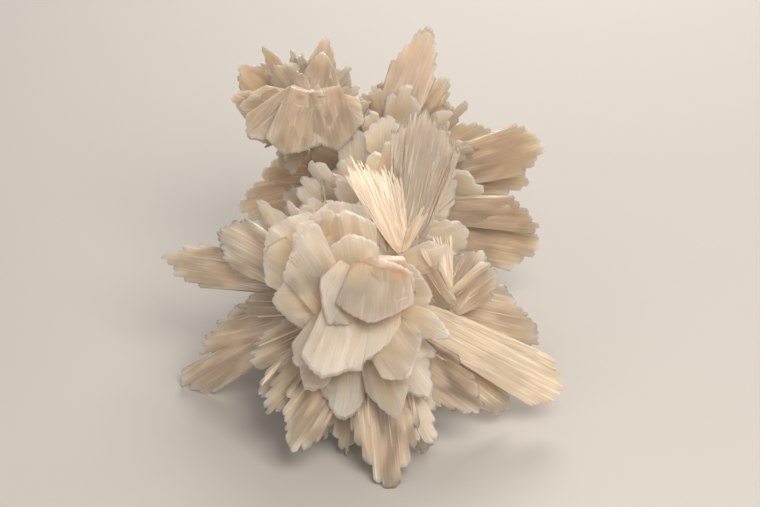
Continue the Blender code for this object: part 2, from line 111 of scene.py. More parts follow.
# The front burst's middle: broad smooth plates behind, and petals that lean over them.
CENTRE = [
    Blade((0, -1, 1), (-13.4, 8.6, 3), 14.0, 1.6, 0, 5, 0.01, 0.28, 0.1),
    Blade((0, -1, 1), (-4.2, 13.2, 3), 12.5, 1.6, 0, 6, 0.01, 0.22, 0.1),
    Blade((0, -1, 1), (0.4, 11.6, 3), 8.0, 1.6, 4, 4, 0.01, 0.32, -0.1),
    Blade((0, 0, 3), (-9.0, 9.6, 7.0), 12.0, 1.6, 6, 4, 0.01, 0.34, 0.1),
    Blade((0, 0, 3), (-2.2, 12.0, 6.6), 11.0, 1.6, -6, 4, 0.01, 0.30, 0.1),
    Blade((0, -0.5, 5), (-12.3, -1.4, 10.0), 11.6, 1.6, -8, 5, 0.01, 0.40, 0.0),
    Blade((-2, -4, 7), (-9.6, 8.0, 11.4), 9.4, 1.3, 6, 3, 0.02, 0.30, 0.7),
    Blade((0, -2, 6), (-1.6, 8.6, 10.4), 10.6, 1.3, -6, 4, 0.02, 0.36, 0.2),
    Blade((0, -2, 6), (7.4, 4.2, 10.6), 9.6, 1.4, 6, 4, 0.01, 0.36, 0.3),
    Blade((1, 0, 5), (11.8, -0.8, 10), 10.4, 1.6, -8, 4, 0.02, 0.34, 0.0),
    Blade((2, -1, 6), (14.2, -7.5, 11.5), 6.4, 1.4, 12, 3, 0.01, 0.56, -0.2),
    Blade((3.0, 3.5, 7), (-1.4, -14.0, 13.4), 15.4, 1.7, -4, 5, 0.01, 0.52, 0.45),
    Blade((1, 1, 6), (-7.6, -11.8, 12), 8.0, 1.5, 14, 3, 0.02, 0.40, 0.3),
    Blade((1, -1.5, 6), (9.4, -12.0, 13), 9.8, 1.6, -8, 4, 0.01, 0.32, 0.3),
    Blade((0, -2, 5), (-8.8, -13.8, 9.5), 8.4, 1.5, 8, 3, 0.02, 0.46, -0.4),
    Blade((2, -3, 5), (7.0, -19.0, 11), 8.8, 1.5, 10, 4, 0.01, 0.42, 0.1),
    Blade((3, -3, 5), (12.4, -15.4, 9), 8.4, 1.5, -14, 3, 0.02, 0.52, 0.3),
    Blade((-1, -3, 4), (-3.2, -19.2, 8), 9.4, 1.6, -6, 3, 0.02, 0.46, -0.3),
    Blade((4.0, 5.4, 8), (3.0, -4.8, 13.6), 13.0, 1.2, 4, 4, 0.01, 0.34, 0.1),
    Blade((2, 5, 7), (-4.6, -4.4, 12.2), 9.6, 1.3, -6, 3, 0.01, 0.40, -0.2),
]

# The rear burst, from the tall blade down the right side, and low on the left.
BEHIND = [
    Blade((1.6, 15, -28), (11.0, 39.0, -30), 8.9, 2.2, 4, 6, 0.03, 0.30, 0.0),
    Blade(REAR, (14.2, 31.2, -32), 7.4, 1.6, -12, 4, 0.05, 0.36, -0.2),
    Blade(REAR, (16.3, 28.0, -34), 4.2, 1.4, 20, 2, 0.05, 0.50, 0.2),
    Blade(REAR, (19.8, 24.0, -35), 8.0, 1.6, -10, 4, 0.05, 0.30, 0.1),
    Blade((8, 16, -29), (28.0, 21.6, -33), 9.2, 1.9, 8, 5, 0.04, 0.20, 0.0),
    Blade(REAR, (25.8, 15.4, -38), 7.6, 1.6, -8, 3, 0.05, 0.30, -0.2),
    Blade((8, 12, -24), (27.6, 10.8, -27), 6.6, 2.4, 14, 3, 0.05, 0.24, 0.6),
    Blade((6, 10, -25), (27.4, 6.0, -31), 10.4, 1.8, -6, 4, 0.06, 0.20, 0.0),
    Blade((6, 8, -22), (24.0, 0.4, -27), 11.0, 1.8, 8, 4, 0.04, 0.36, -0.2),
    Blade(REAR, (-17.8, 11.8, -34), 12.0, 1.8, 8, 4, 0.04, 0.30, 0.0),
    Blade(REAR, (-14.4, 17.2, -30), 9.0, 1.6, -14, 3, 0.06, 0.36, 0.0),
]

# The small upper burst: the blades that stand up, then the plates laid over its front.
ABOVE = [
    Blade(UPPER, (-4.6, 37.6, -27), 9.4, 2.0, 8, 4, 0.02, 0.66, 0.0),
    Blade(UPPER, (-8.2, 35.2, -29), 4.0, 1.4, -16, 2, 0.05, 0.66, 0.0),
    Blade(UPPER, (-10.3, 35.7, -27), 4.6, 1.4, 12, 2, 0.04, 0.70, 0.2),
    Blade(UPPER, (-14.1, 36.2, -26), 6.2, 1.6, -8, 3, 0.04, 0.64, 0.0),
    Blade(UPPER, (-17.5, 33.6, -26), 7.6, 1.7, 10, 3, 0.04, 0.26, -0.1),
    Blade(UPPER, (-18.8, 28.6, -23), 8.0, 1.7, -14, 3, 0.05, 0.36, 0.0),
    Blade(UPPER, (-1.2, 33.0, -26), 7.6, 1.5, 14, 3, 0.06, 0.46, 0.0),
    Blade(UPPER, (2.6, 28.0, -27), 5.6, 1.5, -10, 3, 0.06, 0.46, 0.0),
    Blade((-6.0, 25.0, -18), (-5.0, 35.4, -22.5), 8.6, 1.7, 6, 4, 0.02, 0.50, 0.0),
    Blade((-7.0, 25.0, -17.5), (-12.4, 33.4, -21.5), 8.2, 1.6, -8, 4, 0.02, 0.40, 0.0),
    Blade((-8.0, 27.0, -18), (-17.6, 27.2, -18.5), 8.4, 1.6, 8, 4, 0.03, 0.36, 0.0),
    Blade((-8.0, 29.0, -18.5), (-15.4, 21.8, -15.0), 9.0, 1.6, 10, 4, 0.03, 0.34, 0.2),
    Blade((-7.0, 30.0, -18.5), (-9.6, 19.8, -12.5), 10.6, 1.7, 4, 4, 0.02, 0.30, 0.2),
    Blade((-5.0, 30.0, -18.5), (-2.8, 20.6, -13.0), 9.8, 1.7, -6, 4, 0.02, 0.32, 0.0),
    Blade((-5.0, 28.0, -18), (1.2, 24.6, -17.0), 7.6, 1.6, -10, 3, 0.03, 0.36, 0.0),
]

# Plates of the neck between the bursts, and the stout blade that the upper burst grows on.
NECK = [
    Blade((4, 17, -27), (-8.0, 27.5, -21.5), 9.0, 4.5, 15, 3, 0.02, 0.24, 0.0),
    Blade((-2, 8, -13), (-8.2, 16.8, -11), 8.8, 1.6, 8, 3, 0.02, 0.44, 0.0),
    Blade((1, 7, -14), (-1.6, 19.6, -12), 12.0, 1.7, -6, 4, 0.02, 0.38, 0.0),
    Blade((3, 9, -18), (4.2, 26.0, -17), 11.6, 1.7, 8, 4, 0.02, 0.36, 0.1),
    Blade((5, 7, -15), (14.8, 18.0, -19), 10.4, 1.7, -8, 4, 0.04, 0.40, 0.0),
    Blade((5, 4, -10), (17.0, 8.4, -14), 9.4, 1.6, 10, 4, 0.04, 0.40, 0.0),
    Blade((-2, 4, -10), (-13.4, 9.4, -17), 8.6, 1.6, -10, 4, 0.04, 0.40, 0.0),
    Blade((-1, 3, -12), (-12.0, 0.0, -20), 8.4, 1.6, 12, 4, 0.05, 0.40, 0.0),
    Blade((3, 1, -12), (14.5, -3.0, -19), 8.4, 1.6, -12, 4, 0.05, 0.40, 0.0),
]

# Stout blades that the cluster stands on, besides the front burst's lowest ones.
FEET = [
    Blade((0, 4, -16), (-13.5, -10.4, -28), 8.5, 3.4, 30, 3, 0.02, 0.20, 0.0),
    Blade((5, 4, -18), (16.0, -10.4, -29), 8.5, 3.4, -30, 3, 0.02, 0.20, 0.0),
    Blade(REAR, (5.0, -3.4, -43), 10.0, 4.0, 10, 3, 0.02, 0.16, 0.0),
    Blade((4, -3, -4), (17.0, -19.6, -13.6), 8.5, 3.0, 20, 3, 0.02, 0.24, 0.0),
]

# Blades spread evenly round a heart. Directions run to the viewer from -1, straight away, to 1.
Spray = namedtuple("Spray", "heart count reach width teeth nearest avoid seed")
SPRAYS = [
    # The backs of the bursts.
    Spray((0.0, 1.0, -3.0), 38, (18.0, 22.0), (7.5, 10.0), 3, -0.36, REAR, 11),
    Spray((4.5, 16.0, -29.0), 46, (17.0, 21.5), (7.5, 10.0), 3, -0.40, FRONT, 23),
    # Shorter blades that fill the bursts and the neck between the long ones.
    Spray((0.0, 0.0, 0.0), 24, (14.0, 17.0), (6.5, 9.0), 2, 0.50, REAR, 31),
    Spray((4.5, 17.0, -28.0), 30, (12.0, 15.0), (6.5, 8.5), 2, 0.60, FRONT, 47),
    Spray((1.5, 7.0, -13.0), 32, (14.0, 17.5), (7.0, 9.5), 2, 0.40, (1.5, 7.0, -60.0), 53),
]
# The largest share of a blade's direction that may point at what it avoids.
AVOID = 0.6
GOLDEN_TURN = math.pi * (3 - math.sqrt(5))

# The solid middle of each burst and of the neck: centre (across, up, near) and half-sizes.
LUMPS = [
    (FRONT, (10.5, 10.5, 10.0)),
    (MIDDLE, (7.5, 8.0, 14.0)),
    (REAR, (9.5, 10.0, 10.0)),
    ((-7.0, 26.0, -21.5), (6.0, 6.5, 6.5)),
]

# A blade is this share of its full width at its root, a fan this share of its own.
ROOT_SHARE = 0.50
ROOT_OF_FAN = 0.08
# How fast a blade widens from its root, and how round its crown is: powers of the distance.
FLARE = 0.70
CROWN_POWER = 1.4


def seen(across, up, near):
    """The point that looks to be at (across, up) from the front and stands near in front."""
    grow = (VIEW_DISTANCE - near) / VIEW_DISTANCE
    return HEART + RIGHT * across * grow + UPWARD * up * grow + TOWARD * near


def blade_frame(blade):
    """The blade's root, its length and its own axes: across it, along it and out of its face."""
    root, tip = seen(*blade.root), seen(*blade.tip)
    along = (tip - root).normalized()
    facing = EYE - (root + tip) / 2
    out = (facing - along * facing.dot(along)).normalized()
    out = Matrix.Rotation(math.radians(blade.roll), 3, along) @ out
    return root, (tip - root).length, along.cross(out), along, out


def half_width(blade, root_share, share):
    """Half the blade's width at a share of its length."""
    return blade.width / 2 * (root_share + (1 - root_share) * max(share, 0.0) ** FLARE)


# Small blades that grow along a blade: how many, their least and largest width as shares of its
# width, how thick they are as a share of its thickness, and how far they may be rolled from its face.
Shoots = namedtuple("Shoots", "count narrow wide thick roll")
SPLINTERS = Shoots(6, 0.03, 0.09, 0.30, 4)
TERRACES = Shoots(3, 0.25, 0.75, 0.34, 0)
NEEDLE_SHOOTS = Shoots(24, 0.03, 0.07, 0.22, 8)
NONE = Shoots(0, 0, 0, 0, 0)
# Where a small blade's root lies, as a share of its parent's length, and where its tip lies, as a
# share of what it may use of the parent's reach.
SHOOT_ROOT = (0.1, 0.3)
SHOOT_TIP = (0.65, 0.97)
SHOOT_LIMIT = 0.95
# How much small blades differ in thickness, and their jag, crown and largest skew.
SHOOT_VARY = (0.8, 1.2)
SHOOT_JAG = 0.03
SHOOT_CROWN = (0.2, 0.5)
SHOOT_SKEW = 0.6
# A small blade wider than this share of its parent has two teeth.
TWO_TEETH = 0.2
# How deep a small blade's middle lies under the face, as a share of its thickness.
SINK = 0.25
# The share of the splinters that take the fans' bright material, as painted glints.
PAINTED_GLINT_SHARE = 0.45

# Short blades that cover the bursts' middles where the long ones leave them bare.
CRUST = [
    Spray((0.0, 0.0, 0.0), 90, (11.5, 13.5), (3.5, 6.0), 2, -0.05, REAR, 61),
    Spray((1.5, 8.0, -7.0), 50, (9.5, 12.0), (3.5, 6.0), 2, 0.10, (1.5, 8.0, -60.0), 67),
    Spray((1.5, 8.5, -17.0), 50, (9.5, 12.0), (3.5, 6.0), 2, 0.10, (1.5, 8.5, 60.0), 71),
    Spray((4.5, 17.0, -28.0), 90, (11.5, 14.0), (3.5, 6.0), 2, 0.20, FRONT, 73),
    Spray((-7.0, 26.0, -21.5), 60, (8.0, 10.0), (3.0, 5.0), 2, 0.10, REAR, 79),
]
# Tufts of needles between the front burst's plates, in the bright material as painted glints.
TUFTS = [
    Blade((7.8, -5.3, 11.0), (9.5, -8.5, 13.4), 1.8, 0.6, 0, 3, 0.20, 0.30, 0.2),
    Blade((-8.4, 3.6, 10.4), (-9.8, 5.6, 12.4), 1.2, 0.5, 0, 2, 0.20, 0.40, 0.0),
    Blade((-11.0, -10.6, 4.6), (-14.0, -14.2, 6.6), 1.1, 0.5, 0, 2, 0.15, 0.40, 0.0),
    Blade((11.6, 3.4, 4.0), (10.2, 6.6, 5.2), 1.6, 0.5, 0, 3, 0.20, 0.30, 0.0),
]
# The blades of a spray: how far they may be rolled when they point away from the viewer and when
# not, their crown and skew, their thickness as a share of the width, and their jag.
ROLL_BEHIND = 80
ROLL_BEFORE = 30
SPRAY_CROWN = (0.30, 0.55)
SPRAY_SKEW = 0.4
SPRAY_THICK = 0.22
SPRAY_JAG = 0.06

# How a group of blades is finished: laths in each tooth, depth of the groove between two laths and
# how much the laths differ in height, as shares of the thickness, slant of a lath's end as a share
# of its width, how ragged the ends are as a share of the jag, how round the crown is, how stepped
# it is from 0 to 1, the small blades on each, and the material.
Look = namedtuple("Look", "fine groove vary slant fray round step shoots material")
SILKY = Look(2, 0.03, 0.06, 0.9, 0.9, 1.4, 1.0, SPLINTERS, "silky_crystal")
# BRIGHT_SILK and NEEDLES take the fibrous material, whose white is partly the needles' own pale
# colour and partly painted sheen.
BRIGHT_SILK = Look(3, 0.03, 0.05, 0.9, 0.9, 1.4, 1.0, NEEDLE_SHOOTS, "fibrous_painted_sheen_crystal")
NEEDLES = Look(5, 0.03, 0.05, 2.4, 1.8, 1.4, 1.0, NEEDLE_SHOOTS, "fibrous_painted_sheen_crystal")
FAN = Look(5, 0.01, 0.01, 1.6, 1.4, 1.4, 1.0, NEEDLE_SHOOTS, "veiled_crystal")
FROSTED = Look(3, 0.00, 0.00, 0.4, 1.2, 1.3, 0.35, TERRACES, "frosted_crystal")
MILKY = Look(2, 0.01, 0.03, 0.6, 0.7, 1.4, 0.8, TERRACES, "frosted_crystal")
# COARSE and the upper plates take the darker tan, which is painted shade.
COARSE = Look(2, 0.01, 0.02, 0.7, 0.8, 1.4, 1.0, TERRACES, "tan_painted_shade_crystal")
MOTTLED = Look(2, 0.04, 0.08, 0.9, 0.9, 1.4, 1.0, SPLINTERS, "clear_crystal")
MILKY_CRUST = MILKY._replace(shoots=NONE)
COARSE_CRUST = COARSE._replace(shoots=NONE)
UPPER_PLATES = FROSTED._replace(material="tan_painted_shade_crystal")
# How stepped a small blade is, as a share of its parent.
SHOOT_STEP = 0.3

# Shares of the length at which a lath's rows lie, and its thickness at each, as a share too.
ROWS = (0.0, 0.10, 0.24, 0.40, 0.55, 0.70, 0.84, 0.97, 1.0)
TAPER = (0.0, 0.80, 0.90, 0.84, 0.72, 0.59, 0.44, 0.26, 0.0)
# How much laths differ in width, as a share of the mean, and in height, as shares of the look's vary.
LATH_SPREAD = 0.45
LATH_LIFT = (-1.2, 0.8)
# How far from its middle the longest point of a lath's end may lie, as a share of its width.
POINT_SHIFT = 0.4
# The gap between the meeting columns of two laths, in millimetres.
HAIR = 0.02
# How wide the slope is by which a blade's sides fall to its rim, in millimetres, and the largest
# share of the way to the next column that it may take.
BEVEL = 0.22
BEVEL_LIMIT = 0.8
# Each blade lies in one square of the fibre map, drawn at random: how many millimetres wide a
# square is, and how many there are each way.
CELL = 64.0
CELLS = 32
# A burst's core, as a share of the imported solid's, so that blades hide it.
CORE_SHARE = 0.85
CORE_MATERIAL = "tan_painted_shade_crystal"
# The block that cuts the blades off at the floor, in millimetres.
CUTTER_WIDTH = 200.0
CUTTER_DEPTH = 40.0
# Edges that turn further than this stay sharp.
SHARP = 14
# What the laths' and small blades' random draws start from.
SEED = 5


def crown_drop(blade, side, power):
    """How far the blade's end stays behind its tip at side, as a share of its length."""
    away = abs(side - blade.skew) / (1 + abs(blade.skew))
    return blade.crown * away**power


def mesh_data(name, mesh):
    """The data of a bmesh, which is freed."""
    data = bpy.data.meshes.new(name)
    mesh.to_mesh(data)
    mesh.free()
    return data


def mapped_mesh():
    """An empty bmesh with the two UV maps, which all that a Boolean joins should have."""
    mesh = bmesh.new()
    mesh.loops.layers.uv.new("fibre")
    mesh.loops.layers.uv.new("spot")
    return mesh


def crystal_object(name, mesh):
    """An object of the bmesh. All have the same material slots, which a Boolean keeps apart."""
    data = mesh_data(name, mesh)
    for material in MATERIALS.values():
        data.materials.append(material)
    return bpy.data.objects.new(name, data)


def lath_columns(blade, look, rng):
    """(side, share of the length reached, lift) of each column of points across the blade.

    A lath has a column at each side and one in its middle. Two laths meet in two columns a hair
    apart, so that one can end in a step beside the other.
    """
    count = blade.teeth * look.fine
    widths = [rng.uniform(1 - LATH_SPREAD, 1 + LATH_SPREAD) for _ in range(count)]
    length = (seen(*blade.tip) - seen(*blade.root)).length
    hair = HAIR / blade.width
    columns, left = [], -1.0
    for width in widths:
        right = left + 2 * width / sum(widths)
        middle = (left + right) / 2
        slant = look.slant * (right - left) / 2 * blade.width / length
        drop = blade.jag * rng.uniform(0.0, look.fray)
        lift = 1 + rng.uniform(*LATH_LIFT) * look.vary
        point = 0.5 + rng.uniform(0.0, POINT_SHIFT) * (1 if middle < blade.skew else -1)
        stepped = look.step * crown_drop(blade, middle, look.round)
        for share, groove in ((0.0, look.groove), (0.5, 0.0), (1.0, look.groove)):
            side = left + hair + share * (right - left - 2 * hair)
            behind = stepped + (1 - look.step) * crown_drop(blade, side, look.round)
            end = 1 - behind - drop - slant * abs(share - point)
            columns.append((side, end, lift - groove))
        left = right
    longest = max(end for _, end, _ in columns)
    columns = [(side, end + 1 - longest, lift) for side, end, lift in columns]
    bevel = min(2 * BEVEL / blade.width, BEVEL_LIMIT * (columns[1][0] + 1))
    first, last = columns[0][1:], columns[-1][1:]
    return [(-1.0, *first), (bevel - 1, *first), *columns[1:-1], (1 - bevel, *last), (1.0, *last)]


def blade_object(name, blade, look, rng, root_share):
    """A closed blade of laths, with two UV maps.

    In "fibre" a point lies across and along the blade in millimetres, in "spot" as shares of it.
    """
    root, length, across, along, out = blade_frame(blade)
    columns = lath_columns(blade, look, rng)
    slot = list(MATERIALS).index(look.material)
    shift = [(rng.randrange(CELLS) + 0.5) * CELL for _ in range(2)]
    shift[1] -= length / 2
    mesh = mapped_mesh()
    fibre, spot = mesh.loops.layers.uv["fibre"], mesh.loops.layers.uv["spot"]
    last_column, last_row = len(columns) - 1, len(ROWS) - 1
    places = {}

    def vertex(column, row, face):
        """The point on a face, 1 or -1. The rim's points belong to both faces."""
        rim = column in (0, last_column) or row in (0, last_row)
        key = (column, row, 0 if rim else face)
        if key not in places:
            side, end, lift = columns[column]
            share = end * ROWS[row]
            half = half_width(blade, root_share, share)
            rise = key[2] * blade.thick / 2 * TAPER[row] * lift
            point = root + along * share * length + across * side * half + out * rise
            in_cell = (side * half + shift[0], share * length + shift[1])
            places[key] = mesh.verts.new(point * MM), in_cell, (side, ROWS[row])
        return places[key]

    for column in range(last_column):
        for row in range(last_row):
            corners = ((column, row), (column + 1, row), (column + 1, row + 1), (column, row + 1))
            for face in (1, -1):
                made = [vertex(*corner, face) for corner in corners][::face]
                quad = mesh.faces.new([vert for vert, _, _ in made])
                quad.material_index = slot
                for loop, (_, in_cell, share) in zip(quad.loops, made):
                    loop[fibre].uv = in_cell
                    loop[spot].uv = share
    return crystal_object(name, mesh)


def half_thickness(blade, share):
    """How far a blade's face stands off its middle at a share of its length."""
    after = next(i for i, row in enumerate(ROWS) if row >= share)
    part = (share - ROWS[after - 1]) / (ROWS[after] - ROWS[after - 1])
    return blade.thick / 2 * (TAPER[after - 1] + part * (TAPER[after] - TAPER[after - 1]))


def sight(point):
    """(across, up, near) of a point: the other way round from seen."""
    off = point - HEART
    near = off.dot(TOWARD)
    grow = (VIEW_DISTANCE - near) / VIEW_DISTANCE
    return off.dot(RIGHT) / grow, off.dot(UPWARD) / grow, near


def offshoots(blade, shoots, rng, root_share):
    """Small blades that grow along a blade, in its front face."""
    root, length, across, along, out = blade_frame(blade)
    grown = []
    for _ in range(shoots.count):
        width = rng.uniform(shoots.narrow, shoots.wide)
        thick = blade.thick * shoots.thick * rng.uniform(*SHOOT_VARY)
        side = (1 - width) * rng.uniform(-1, 1)
        longest = SHOOT_LIMIT * (1 - crown_drop(blade, side, CROWN_POWER))
        ends = []
        for share in (rng.uniform(*SHOOT_ROOT), longest * rng.uniform(*SHOOT_TIP)):
            middle = root + along * share * length
            spot = middle + across * side * half_width(blade, root_share, share)
            ends.append(sight(spot + out * (half_thickness(blade, share) - SINK * thick)))
        teeth = 2 if width > TWO_TEETH else 1
        crown = rng.uniform(*SHOOT_CROWN)
        skew = rng.uniform(-SHOOT_SKEW, SHOOT_SKEW)
        shoot = Blade(*ends, width * blade.width, thick, 0, teeth, SHOOT_JAG, crown, skew)
        _, _, aside, _, ahead = blade_frame(shoot)
        roll = math.degrees(math.atan2(out.dot(aside), out.dot(ahead)))
        grown.append(shoot._replace(roll=roll + rng.uniform(-shoots.roll, shoots.roll)))
    return grown


def spray_blades(spray):
    """Blades spread evenly round spray.heart, but for those that point at the viewer or at avoid."""
    rng = random.Random(spray.seed)
    heart = Vector(spray.heart)
    avoid = (Vector(spray.avoid) - heart).normalized()
    blades = []
    for i in range(spray.count):
        near = 1 - 2 * (i + 0.5) / spray.count
        ring = math.sqrt(1 - near * near)
        way = Vector((ring * math.cos(i * GOLDEN_TURN), ring * math.sin(i * GOLDEN_TURN), near))
        tip = tuple(heart + way * rng.uniform(*spray.reach))
        width = rng.uniform(*spray.width)
        most = ROLL_BEHIND if near < 0 else ROLL_BEFORE
        roll = rng.uniform(-most, most)
        crown = rng.uniform(*SPRAY_CROWN)
        skew = rng.uniform(-SPRAY_SKEW, SPRAY_SKEW)
        if near > spray.nearest or way.dot(avoid) > AVOID:
            continue
        thick = width * SPRAY_THICK
        blades.append(
            Blade(spray.heart, tip, width, thick, roll, spray.teeth, SPRAY_JAG, crown, skew)
        )
    return blades


def core_object(name, centre, half_sizes):
    """A faceted egg in which a burst's blades meet, set in the viewer's directions."""
    mesh = mapped_mesh()
    bmesh.ops.create_icosphere(mesh, subdivisions=1, radius=1)
    turn = Matrix((RIGHT, UPWARD, TOWARD)).transposed()
    for vert in mesh.verts:
        off = turn @ Vector(c * h for c, h in zip(vert.co, half_sizes))
        vert.co = (seen(*centre) + off * CORE_SHARE) * MM
    for face in mesh.faces:
        face.material_index = list(MATERIALS).index(CORE_MATERIAL)
    return crystal_object(name, mesh)


def floor_cutter():
    """A block under the plane that the cluster stands on."""
    mesh = mapped_mesh()
    bmesh.ops.create_cube(mesh, size=1)
    size = Vector((CUTTER_WIDTH, CUTTER_WIDTH, CUTTER_DEPTH)) * MM
    for vert in mesh.verts:
        vert.co = (vert.co - Vector((0, 0, 0.5))) * size
    return crystal_object("floor_cutter", mesh)


def boolean(obj, operation, other):
    """Joins or cuts obj with another object, or with every object of a collection."""
    modifier = obj.modifiers.new(operation.lower(), "BOOLEAN")
    modifier.operation = operation
    modifier.solver = "MANIFOLD"
    if isinstance(other, bpy.types.Collection):
        modifier.operand_type = "COLLECTION"
        modifier.collection = other
    else:
        modifier.object = other


def largest_body(mesh):
    """Deletes all of a bmesh's shells but the one with the most vertices."""
    left, shells = set(mesh.verts), []
    while left:
        shell, edge = [], [left.pop()]
        while edge:
            vert = edge.pop()
            shell.append(vert)
            for link in vert.link_edges:
                other = link.other_vert(vert)
                if other in left:
                    left.remove(other)
                    edge.append(other)
        shells.append(shell)
    shells.sort(key=len)
    for shell in shells[:-1]:
        bmesh.ops.delete(mesh, geom=shell, context="VERTS")


def joined(name, base, parts, floor):
    """One clean solid of base and parts, cut off at the floor."""
    operands = bpy.data.collections.new(name + "_parts")
    for part in parts:
        operands.objects.link(part)
    bpy.context.scene.collection.objects.link(base)
    boolean(base, "UNION", operands)
    boolean(base, "DIFFERENCE", floor)
    evaluated = base.evaluated_get(bpy.context.evaluated_depsgraph_get())
    data = bpy.data.meshes.new_from_object(evaluated)
    mesh = bmesh.new()
    mesh.from_mesh(data)
    largest_body(mesh)
    bmesh.ops.triangulate(mesh, faces=mesh.faces)
    mesh.to_mesh(data)
    mesh.free()
    data.set_sharp_from_angle(angle=math.radians(SHARP))
    data.name = name
    solid = bpy.data.objects.new(name, data)
    bpy.context.scene.collection.objects.link(solid)
    for part in [base, *parts]:
        bpy.data.objects.remove(part)
    bpy.data.collections.remove(operands)
    return solid


class Nodes:
    """Builds a material's nodes with few words."""

    def __init__(self, name):
        self.material = bpy.data.materials.new(name)
        self.material.use_nodes = True
        self.tree = self.material.node_tree
        self.shader = self.tree.nodes["Principled BSDF"]

    def put(self, socket, value):
        """Links the value to the socket, or sets it there."""
        if isinstance(value, bpy.types.NodeSocket):
            self.tree.links.new(value, socket)
        else:
            socket.default_value = value

    def add(self, kind, inputs=(), **settings):
        """A new node, with its inputs given by name or number."""
        node = self.tree.nodes.new(kind)
        for key, value in settings.items():
            setattr(node, key, value)
        for socket, value in dict(inputs).items():
            self.put(node.inputs[socket], value)
        return node

    def set(self, **inputs):
        """Gives the shader its inputs, with _ for each space in a name."""
        for name, value in inputs.items():
            self.put(self.shader.inputs[name.replace("_", " ")], value)

    def noise(self, vector, scale, detail, roughness=0.5):
        inputs = {"Vector": vector, "Scale": scale, "Detail": detail, "Roughness": roughness}
        return self.add("ShaderNodeTexNoise", inputs).outputs["Fac"]

    def stretched(self, scale):
        """The fibre map, whose across and along are scaled apart."""
        place = self.add("ShaderNodeUVMap", uv_map="fibre").outputs["UV"]
        return self.add("ShaderNodeMapping", {"Vector": place, "Scale": scale}).outputs["Vector"]

    def between(self, factor, span, start=0.0, end=1.0):
        """A number that goes from start to end while factor crosses the span."""
        low, high = span
        inputs = {"Value": factor, "From Min": low, "From Max": high, "To Min": start, "To Max": end}
        return self.add("ShaderNodeMapRange", inputs).outputs["Result"]

    def mix(self, factor, first, second):
        """A colour between two."""
        inputs = {0: factor, 6: first, 7: second}
        return self.add("ShaderNodeMix", inputs, data_type="RGBA", blend_type="MIX").outputs[2]

    def maths(self, operation, first, second):
        return self.add("ShaderNodeMath", {0: first, 1: second}, operation=operation).outputs[0]

    def vector_maths(self, operation, *vectors):
        inputs = dict(enumerate(vectors))
        return self.add("ShaderNodeVectorMath", inputs, operation=operation)

    def plus(self, first, second, share):
        """first and a share of second."""
        return self.maths("ADD", first, self.maths("MULTIPLY", second, share))

    def weighed(self, first, second, share):
        """A mean of two numbers, in which the first has this share."""
        return self.plus(self.maths("MULTIPLY", first, share), second, 1 - share)


# Rust-coloured spots: (across, up, near) of the middle and the radius.
STAINS = (
    ((7.2, 3.2, 10.0), 1.8),
    ((-0.8, 15.0, -5.0), 1.2),
    ((10.6, -3.2, 9.0), 1.4),
    ((-6.5, 1.5, 10.0), 0.6),
)
RUST = (0.46, 0.20, 0.075, 1)
STAIN_STRENGTH = 0.5
# A stain fades out from its inner to its outer limit, and clouds pull it in. All are in radii.
STAIN_OUTER = 2.4
STAIN_INNER = 0.6
STAIN_CLOUD = 1.6

WHITE = (1.0, 0.95, 0.87, 1)
# Scales of the fibres and of the clear patches: waves in a millimetre across and along a blade.
FINE_FIBRE = (4.0, 0.10, 1)
BROAD_FIBRE = (1.6, 0.10, 1)
PATCHES = (0.35, 0.12, 1)
# Scales of the patterns that run through all blades: waves in a metre.
CLOUD_SCALE = 150.0
GRIT_SCALE = 1400.0
# How many finer layers each pattern has, and how strong they are in the clouds and the grit.
FIBRE_DETAIL = 2
PATCH_DETAIL = 1
CLOUD_DETAIL = 4
GRIT_DETAIL = 3
RUGGED = 0.6
# The values of a pattern between which it takes effect.
SHADE_SPAN = (0.38, 0.60)
# Near the rims a painted glow whitens the blade, as if lit through.
EDGE_GLOW_SPAN = (0.86, 1.0)
FEATHER_SPAN = (0.56, 0.66)
LINE_SPAN = (0.60, 0.65)
CLEAR_SPAN = (0.50, 0.68)
ROUGH_SPAN = (0.35, 0.65)
# How white the broad feathers are, and the fine lines along the fibres, which are partly painted
# sheen.
FEATHER_WHITE = 0.18
LINE_WHITE = 0.7
# The share of the fine fibres in the streaks, and of the pattern in a place's shade. The rest of
# the shade is the blade's own.
FINE_SHARE = 0.6
SHADE_SHARE = 0.6
# How much clearer a blade's tip is than its root.
TIP_CLEARING = 0.12
GRIT_HEIGHT = 0.12
BUMP_STRENGTH = 0.35
BUMP_HEIGHT = 0.15
# Shares of the roughness where a blade is smoothest and roughest.
SMOOTHEST = 0.85
ROUGHEST = 1.2
# The mineral's middle index of refraction, and how far each colour of light spreads in it.
REFRACTION = 1.53
SPREAD = (1.0, 0.82, 0.66)
